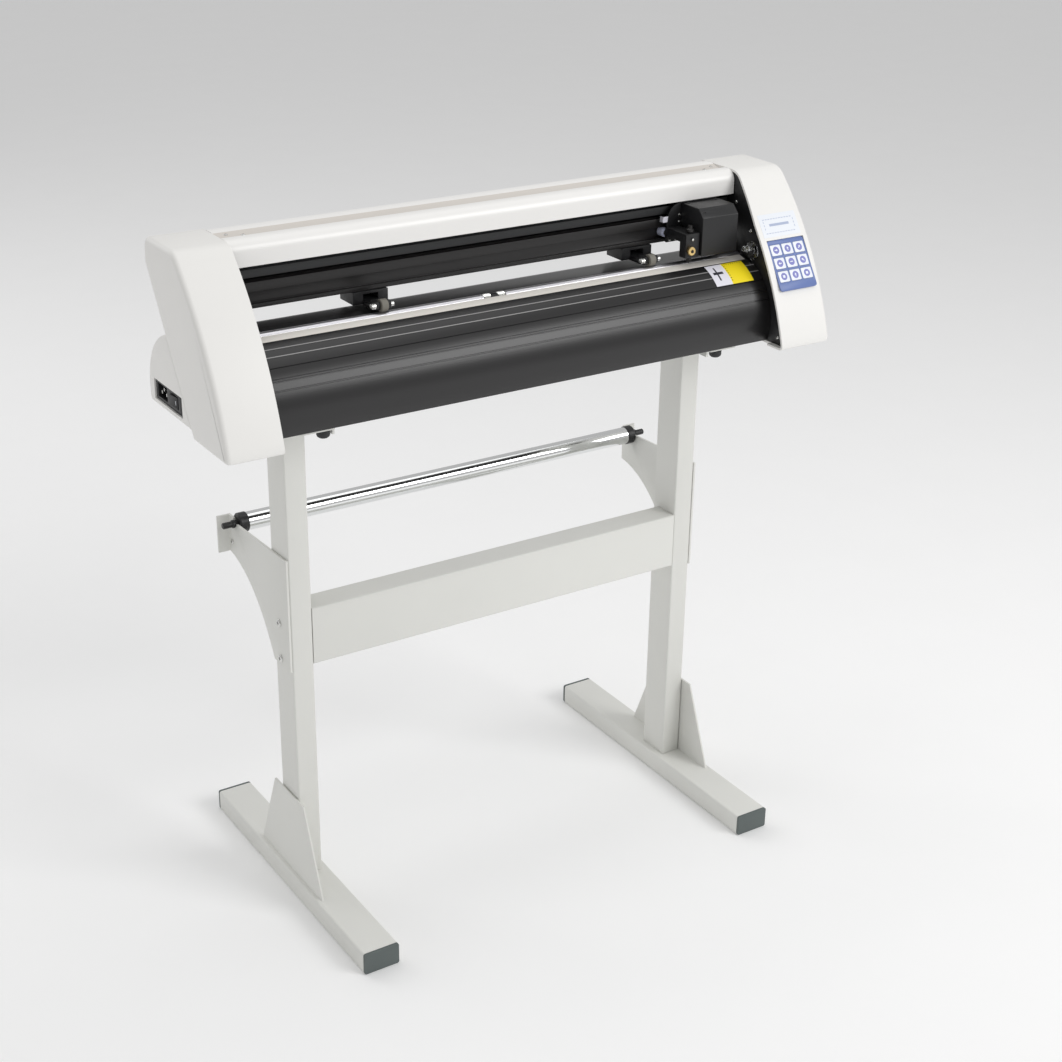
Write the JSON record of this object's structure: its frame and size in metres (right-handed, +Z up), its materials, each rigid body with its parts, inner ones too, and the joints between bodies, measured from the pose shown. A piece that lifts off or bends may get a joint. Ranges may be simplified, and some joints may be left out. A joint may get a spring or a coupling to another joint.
{
  "type": "vinyl cutter",
  "caption": "Vinyl cutter on a steel floor stand: driven feed roller and pinch rollers, cutting carriage on a beam, keypad and media tube.",
  "frame": {"origin": "on the floor, under the middle of the machine's bounding box", "axes": "+X along the beam to the right of a person facing the front, +Y from the front to the back, +Z up"},
  "size_m": [0.884, 0.454, 0.912],
  "materials": {
    "stand_paint": "light grey-white powder coat, satin, fine texture",
    "cover_plastic": "off-white moulded plastic, satin",
    "plug_plastic": "dark grey moulded plastic",
    "black_plastic": "black moulded plastic, satin",
    "black_anodised": "black anodised extrusion, satin",
    "black_steel": "black painted sheet steel",
    "white_cover": "white painted aluminium, satin",
    "chrome_tube": "bright chrome plate",
    "bright_steel": "ground and knurled steel",
    "brass": "turned and knurled brass",
    "grey_rubber": "grey rubber",
    "wheel_nylon": "bluish white moulded plastic",
    "cream_strip": "cream plastic cutting strip",
    "clear_plastic": "clear moulded plastic",
    "key_blue": "blue printed panel, satin",
    "key_white": "white key caps, satin"
  },
  "bodies": {
    "frame": {"left_foot": "stand_paint", "left_front_foot_plug": "plug_plastic", "left_rear_foot_plug": "plug_plastic", "left_upright": "stand_paint", "left_roll_bracket": "stand_paint", "left_end_cover": "cover_plastic", "left_rear_housing": "cover_plastic", "left_side_plate": "black_steel", "right_foot": "stand_paint", "right_front_foot_plug": "plug_plastic", "right_rear_foot_plug": "plug_plastic", "right_upright": "stand_paint", "right_roll_bracket": "stand_paint", "right_end_cover": "cover_plastic", "right_rear_housing": "cover_plastic", "right_side_plate": "black_steel", "crossbar": "stand_paint", "power_inlet": "black_plastic", "top_cover": "white_cover", "beam": "black_anodised", "front_platen": "black_anodised", "rear_platen": "black_anodised", "cutting_strip": "cream_strip", "feed_motor": "black_steel", "carriage_motor": "black_steel", "drive_belt": "grey_rubber", "keypad_panel": "key_blue"},
    "media_roll": {"media_tube": "chrome_tube", "left_tube_end": "black_plastic", "right_tube_end": "black_plastic"},
    "feed_shaft": {"feed_roller": "bright_steel", "feed_gear": "bright_steel"},
    "feed_pinion": {"feed_pinion": "brass"},
    "left_pinch_bracket": {"left_pinch_bracket": "black_steel"},
    "right_pinch_bracket": {"right_pinch_bracket": "black_steel"},
    "left_pinch_arm": {"left_pinch_arm": "black_plastic"},
    "right_pinch_arm": {"right_pinch_arm": "black_plastic"},
    "left_pinch_roller": {"left_pinch_roller": "grey_rubber"},
    "right_pinch_roller": {"right_pinch_roller": "grey_rubber"},
    "carriage": {"carriage_plate": "black_steel", "carriage_cover": "black_plastic"},
    "lower_left_guide_wheel": {"lower_left_guide_wheel": "wheel_nylon"},
    "lower_right_guide_wheel": {"lower_right_guide_wheel": "wheel_nylon"},
    "upper_guide_wheel": {"upper_guide_wheel": "wheel_nylon"},
    "tool_clamp": {"tool_clamp": "black_steel", "blade_holder": "black_anodised"},
    "clamp_nut": {"clamp_nut": "brass"},
    "drive_pulley": {"drive_pulley": "bright_steel"},
    "idler_pulley": {"idler_pulley": "bright_steel"},
    "hand_wheel": {"hand_wheel": "clear_plastic"},
    "power_rocker": {"power_rocker": "black_plastic"},
    "key_1": {"key_1": "key_white"},
    "key_2": {"key_2": "key_white"},
    "key_3": {"key_3": "key_white"},
    "key_4": {"key_4": "key_white"},
    "key_5": {"key_5": "key_white"},
    "key_6": {"key_6": "key_white"},
    "key_7": {"key_7": "key_white"},
    "key_8": {"key_8": "key_white"},
    "key_9": {"key_9": "key_white"}
  },
  "joints": [
    {"name": "media_tube_spin", "type": "hinge", "parent": "frame", "child": "media_roll", "pos_m": [0, 0.124, 0.4935], "axis": [1, 0, 0], "continuous": true},
    {"name": "feed_roller_spin", "type": "hinge", "parent": "frame", "child": "feed_shaft", "pos_m": [0, -0.04, 0.7985], "axis": [1, 0, 0], "continuous": true},
    {"name": "feed_pinion_spin", "type": "hinge", "parent": "frame", "child": "feed_pinion", "pos_m": [0.376, -0.06459, 0.7843], "axis": [1, 0, 0], "continuous": true},
    {"name": "left_pinch_slide", "type": "slide", "parent": "frame", "child": "left_pinch_bracket", "axis": [1, 0, 0], "range_m": [-0.15, 0.12]},
    {"name": "left_pinch_lift", "type": "hinge", "parent": "left_pinch_bracket", "child": "left_pinch_arm", "pos_m": [-0.182, 0.018, 0.814], "axis": [-1, 0, 0], "range_deg": [0, 8]},
    {"name": "left_pinch_roller_spin", "type": "hinge", "parent": "left_pinch_arm", "child": "left_pinch_roller", "pos_m": [-0.182, -0.04, 0.8136], "axis": [1, 0, 0], "continuous": true},
    {"name": "right_pinch_slide", "type": "slide", "parent": "frame", "child": "right_pinch_bracket", "axis": [1, 0, 0], "range_m": [-0.15, 0.12]},
    {"name": "right_pinch_lift", "type": "hinge", "parent": "right_pinch_bracket", "child": "right_pinch_arm", "pos_m": [0.217, 0.018, 0.814], "axis": [-1, 0, 0], "range_deg": [0, 8]},
    {"name": "right_pinch_roller_spin", "type": "hinge", "parent": "right_pinch_arm", "child": "right_pinch_roller", "pos_m": [0.217, -0.04, 0.8136], "axis": [1, 0, 0], "continuous": true},
    {"name": "carriage_travel", "type": "slide", "parent": "frame", "child": "carriage", "axis": [1, 0, 0], "range_m": [-0.61, 0.01]},
    {"name": "lower_left_guide_wheel_spin", "type": "hinge", "parent": "carriage", "child": "lower_left_guide_wheel", "pos_m": [0.261, -0.0067, 0.8382], "axis": [0, 1, 0], "continuous": true},
    {"name": "lower_right_guide_wheel_spin", "type": "hinge", "parent": "carriage", "child": "lower_right_guide_wheel", "pos_m": [0.33, -0.0067, 0.8382], "axis": [0, 1, 0], "continuous": true},
    {"name": "upper_guide_wheel_spin", "type": "hinge", "parent": "carriage", "child": "upper_guide_wheel", "pos_m": [0.297, -0.0067, 0.8958], "axis": [0, 1, 0], "continuous": true},
    {"name": "drive_pulley_spin", "type": "hinge", "parent": "frame", "child": "drive_pulley", "pos_m": [-0.4, 0.005, 0.867], "axis": [0, 0, 1], "continuous": true},
    {"name": "idler_pulley_spin", "type": "hinge", "parent": "frame", "child": "idler_pulley", "pos_m": [0.4, 0.005, 0.867], "axis": [0, 0, 1], "continuous": true},
    {"name": "tool_drop", "type": "slide", "parent": "carriage", "child": "tool_clamp", "axis": [0, 0, 1], "range_m": [-0.004, 0], "stiffness_N_per_m": 400, "springref_m": 0.004},
    {"name": "clamp_nut_turn", "type": "hinge", "parent": "tool_clamp", "child": "clamp_nut", "pos_m": [0.264, -0.066, 0.825], "axis": [0, 1, 0], "range_deg": [0, 720]},
    {"name": "hand_wheel_turn", "type": "hinge", "parent": "frame", "child": "hand_wheel", "pos_m": [0.3638, -0.07, 0.813], "axis": [1, 0, 0], "range_deg": [-150, 150]},
    {"name": "key_1_press", "type": "slide", "parent": "frame", "child": "key_1", "axis": [0, 0.8387, -0.5446], "range_m": [0, 0.0006], "stiffness_N_per_m": 800, "springref_m": -0.0003},
    {"name": "key_2_press", "type": "slide", "parent": "frame", "child": "key_2", "axis": [0, 0.8387, -0.5446], "range_m": [0, 0.0006], "stiffness_N_per_m": 800, "springref_m": -0.0003},
    {"name": "key_3_press", "type": "slide", "parent": "frame", "child": "key_3", "axis": [0, 0.8387, -0.5446], "range_m": [0, 0.0006], "stiffness_N_per_m": 800, "springref_m": -0.0003},
    {"name": "key_4_press", "type": "slide", "parent": "frame", "child": "key_4", "axis": [0, 0.8387, -0.5446], "range_m": [0, 0.0006], "stiffness_N_per_m": 800, "springref_m": -0.0003},
    {"name": "key_5_press", "type": "slide", "parent": "frame", "child": "key_5", "axis": [0, 0.8387, -0.5446], "range_m": [0, 0.0006], "stiffness_N_per_m": 800, "springref_m": -0.0003},
    {"name": "key_6_press", "type": "slide", "parent": "frame", "child": "key_6", "axis": [0, 0.8387, -0.5446], "range_m": [0, 0.0006], "stiffness_N_per_m": 800, "springref_m": -0.0003},
    {"name": "key_7_press", "type": "slide", "parent": "frame", "child": "key_7", "axis": [0, 0.8387, -0.5446], "range_m": [0, 0.0006], "stiffness_N_per_m": 800, "springref_m": -0.0003},
    {"name": "key_8_press", "type": "slide", "parent": "frame", "child": "key_8", "axis": [0, 0.8387, -0.5446], "range_m": [0, 0.0006], "stiffness_N_per_m": 800, "springref_m": -0.0003},
    {"name": "key_9_press", "type": "slide", "parent": "frame", "child": "key_9", "axis": [0, 0.8387, -0.5446], "range_m": [0, 0.0006], "stiffness_N_per_m": 800, "springref_m": -0.0003},
    {"name": "power_rocker_tip", "type": "hinge", "parent": "frame", "child": "power_rocker", "pos_m": [-0.436, 0.0033, 0.724], "axis": [0, 0, 1], "range_deg": [-16, 0]}
  ],
  "couplings": [
    {"joint": "feed_pinion_spin", "follows": "feed_roller_spin", "ratio": -2.5},
    {"joint": "left_pinch_roller_spin", "follows": "feed_roller_spin", "ratio": -0.89744},
    {"joint": "right_pinch_roller_spin", "follows": "feed_roller_spin", "ratio": -0.89744},
    {"joint": "lower_left_guide_wheel_spin", "follows": "carriage_travel", "rad_per_m": -153.85},
    {"joint": "lower_right_guide_wheel_spin", "follows": "carriage_travel", "rad_per_m": -153.85},
    {"joint": "upper_guide_wheel_spin", "follows": "carriage_travel", "rad_per_m": 153.85},
    {"joint": "drive_pulley_spin", "follows": "carriage_travel", "rad_per_m": 97.087},
    {"joint": "idler_pulley_spin", "follows": "carriage_travel", "rad_per_m": 97.087}
  ]
}
